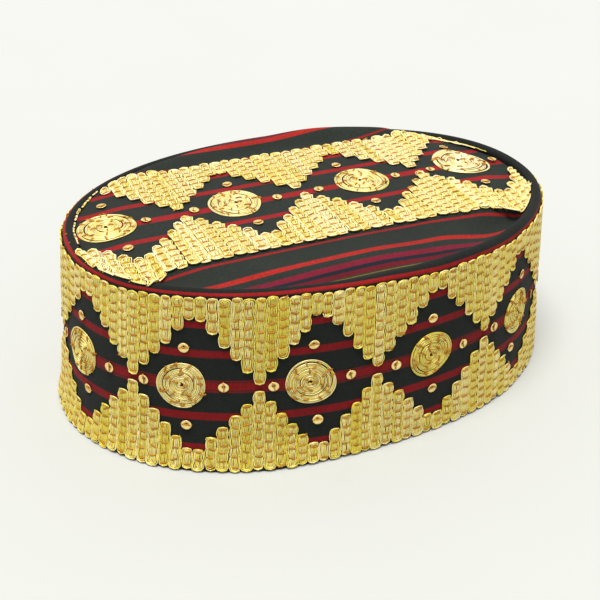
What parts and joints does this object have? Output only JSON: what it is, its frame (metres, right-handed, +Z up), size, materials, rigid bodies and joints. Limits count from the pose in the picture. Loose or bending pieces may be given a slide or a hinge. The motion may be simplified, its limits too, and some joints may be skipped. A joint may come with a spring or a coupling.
{
  "type": "songkok",
  "caption": "Oval flat-topped cap of striped dark cotton with a rolled rim, a soft sunken crown, stepped fields of couched gold thread, coiled gold rosettes and sequins.",
  "frame": {"origin": "middle of the base, on the surface that the cap stands on", "axes": "+X along the length of the head opening, -Y toward the front as pictured, +Z up"},
  "size_m": [0.2297, 0.1546, 0.0821],
  "materials": {
    "wall_cloth": "black plain-woven cotton with dark red warp stripes",
    "crown_cloth": "black plain-woven cotton with red, purple, navy and olive stripes",
    "gold_thread": "laid metallic gold thread held down with amber couching stitches"
  },
  "bodies": {
    "root": {"side_wall": "wall_cloth", "crown_panel": "crown_cloth", "wall_gold_lower": "gold_thread", "wall_gold_upper": "gold_thread", "crown_gold_front": "gold_thread", "crown_gold_back": "gold_thread", "wall_rosette_01": "gold_thread", "wall_rosette_02": "gold_thread", "wall_rosette_03": "gold_thread", "wall_rosette_04": "gold_thread", "wall_rosette_05": "gold_thread", "wall_rosette_06": "gold_thread", "wall_rosette_07": "gold_thread", "wall_rosette_08": "gold_thread", "wall_rosette_09": "gold_thread", "wall_rosette_10": "gold_thread", "wall_rosette_11": "gold_thread", "wall_rosette_12": "gold_thread", "crown_rosette_1": "gold_thread", "crown_rosette_2": "gold_thread", "crown_rosette_3": "gold_thread", "crown_rosette_4": "gold_thread"}
  },
  "joints": []
}
